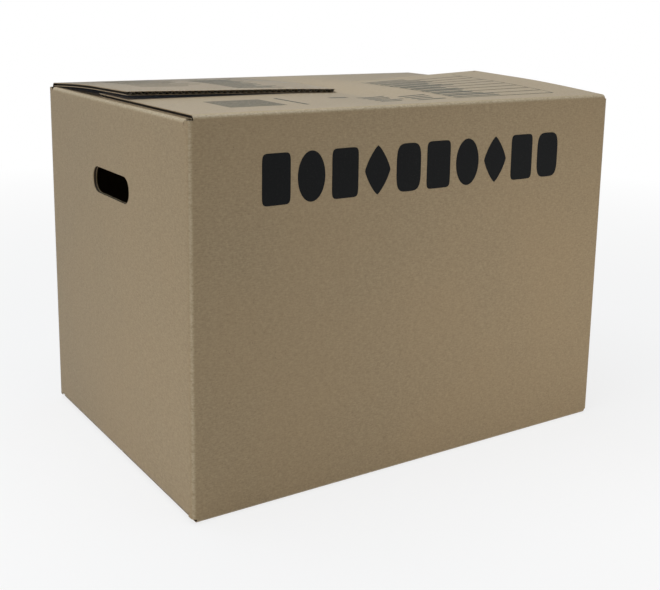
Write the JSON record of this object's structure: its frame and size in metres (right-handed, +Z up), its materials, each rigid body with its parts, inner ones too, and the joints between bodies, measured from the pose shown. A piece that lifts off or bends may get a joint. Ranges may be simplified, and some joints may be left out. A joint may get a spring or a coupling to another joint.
{
  "type": "moving box",
  "caption": "Closed corrugated moving box with a hand hole in each end and two long top flaps that overlap and lock into each other without tape.",
  "frame": {"origin": "centre of the underside", "axes": "+X along the length towards the right hand end, -Y out of the front wall, +Z up"},
  "size_m": [0.545, 0.39, 0.4127],
  "materials": {
    "kraft_board": "matte kraft liner"
  },
  "bodies": {
    "root": {"carton": "kraft_board"}
  },
  "joints": []
}
